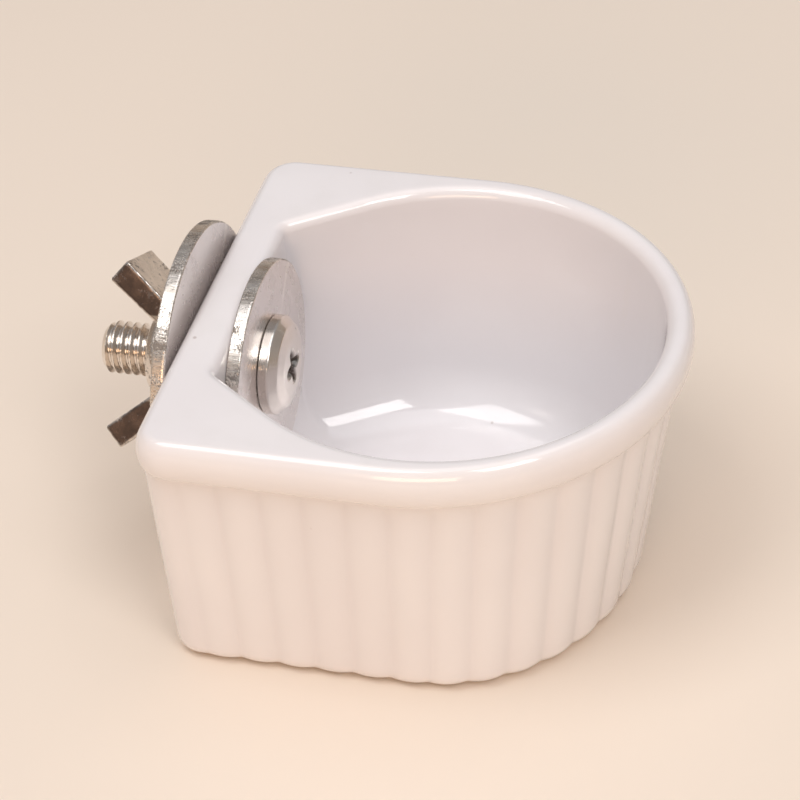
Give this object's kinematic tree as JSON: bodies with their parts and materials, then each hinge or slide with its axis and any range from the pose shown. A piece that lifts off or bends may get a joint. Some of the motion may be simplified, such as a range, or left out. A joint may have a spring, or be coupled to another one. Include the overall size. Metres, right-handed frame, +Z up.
{
  "type": "screw-on feeding cup",
  "caption": "Small ceramic feeding cup with a flat back that clamps to a cage or hutch wall with a cross-head screw, broad washers and a wing nut.",
  "frame": {"origin": "middle of the cup's length at the rim, on the plane of its flat underside", "axes": "+X towards the rounded front, along the screw's axis; +Z up; the flat back and the wing nut face -X"},
  "size_m": [0.0659, 0.0528, 0.0391],
  "materials": {
    "glazed_ceramic": "glossy white glaze, bare at the underside",
    "plated_screw": "nickel-plated steel, warm grey, bright on the rolled faces",
    "plated_washer": "nickel-plated steel, satin-bright faces and a rough sheared rim",
    "plated_nut": "nickel-plated steel, rougher on the worked faces of the wings"
  },
  "bodies": {
    "feeder_cup": {"feeder_cup": "glazed_ceramic"},
    "mounting_screw": {"mounting_screw": "plated_screw"},
    "inner_washer": {"inner_washer": "plated_washer"},
    "outer_washer": {"outer_washer": "plated_washer"},
    "wing_nut": {"wing_nut": "plated_nut"}
  },
  "joints": [
    {"name": "screw_turn", "type": "hinge", "parent": "feeder_cup", "child": "mounting_screw", "pos_m": [-0.0271, 0, 0.0241], "axis": [1, 0, 0], "continuous": true},
    {"name": "inner_washer_turn", "type": "hinge", "parent": "feeder_cup", "child": "inner_washer", "pos_m": [-0.02135, 0, 0.02295], "axis": [1, 0, 0], "continuous": true},
    {"name": "outer_washer_slide", "type": "slide", "parent": "mounting_screw", "child": "outer_washer", "axis": [-1, 0, 0], "range_m": [0, 0.005]},
    {"name": "wing_nut_turn", "type": "hinge", "parent": "outer_washer", "child": "wing_nut", "pos_m": [-0.0287, 0, 0.0241], "axis": [-1, 0, 0], "range_deg": [0, 1801]}
  ],
  "couplings": [
    {"joint": "wing_nut_turn", "follows": "outer_washer_slide", "rad_per_m": 6283.2}
  ]
}
